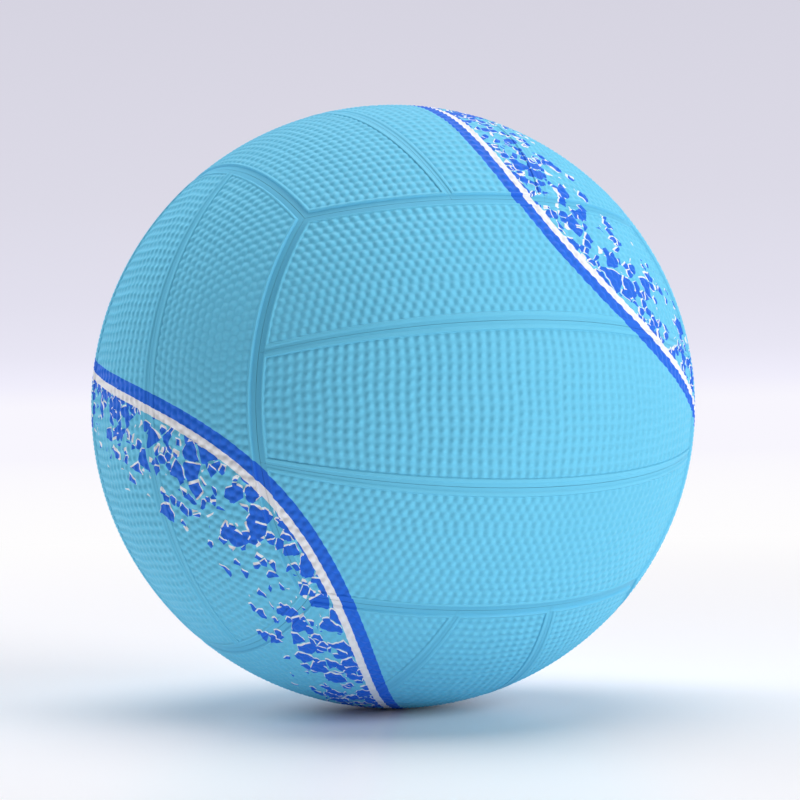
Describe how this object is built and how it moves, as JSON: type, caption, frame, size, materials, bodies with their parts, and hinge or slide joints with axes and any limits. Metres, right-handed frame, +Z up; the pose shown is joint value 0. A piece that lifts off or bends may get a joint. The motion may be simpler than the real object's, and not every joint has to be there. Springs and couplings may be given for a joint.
{
  "type": "netball",
  "caption": "Inflated ball with a pebbled rubber cover of strip panels in recessed seams, over cloth, wound thread and an airtight bladder, with a pull-out needle valve.",
  "frame": {"origin": "centre of the ball", "axes": "+Z up through the top face of the panel layout, -Y out through its front face, +Y out along the valve"},
  "size_m": [0.2228, 0.2227, 0.2228],
  "materials": {
    "cover_rubber": "satin pebbled rubber",
    "carcass_cloth": "latex soaked cloth",
    "winding_thread": "wound nylon thread",
    "bladder_butyl": "smooth butyl",
    "valve_rubber": "moulded rubber",
    "core_rubber": "soft moulded rubber"
  },
  "bodies": {
    "ball": {"front_upper_panel": "cover_rubber", "front_middle_panel": "cover_rubber", "front_lower_panel": "cover_rubber", "back_upper_panel": "cover_rubber", "back_middle_panel": "cover_rubber", "back_lower_panel": "cover_rubber", "left_front_panel": "cover_rubber", "left_middle_panel": "cover_rubber", "left_back_panel": "cover_rubber", "right_front_panel": "cover_rubber", "right_middle_panel": "cover_rubber", "right_back_panel": "cover_rubber", "top_left_panel": "cover_rubber", "top_middle_panel": "cover_rubber", "top_right_panel": "cover_rubber", "bottom_left_panel": "cover_rubber", "bottom_middle_panel": "cover_rubber", "bottom_right_panel": "cover_rubber", "carcass": "carcass_cloth", "winding": "winding_thread", "bladder": "bladder_butyl", "valve_seat": "valve_rubber"},
    "core": {"valve_core": "core_rubber"}
  },
  "joints": [
    {"name": "core_pull", "type": "slide", "parent": "ball", "child": "core", "axis": [0, 1, 0], "range_m": [0, 0.018]}
  ]
}
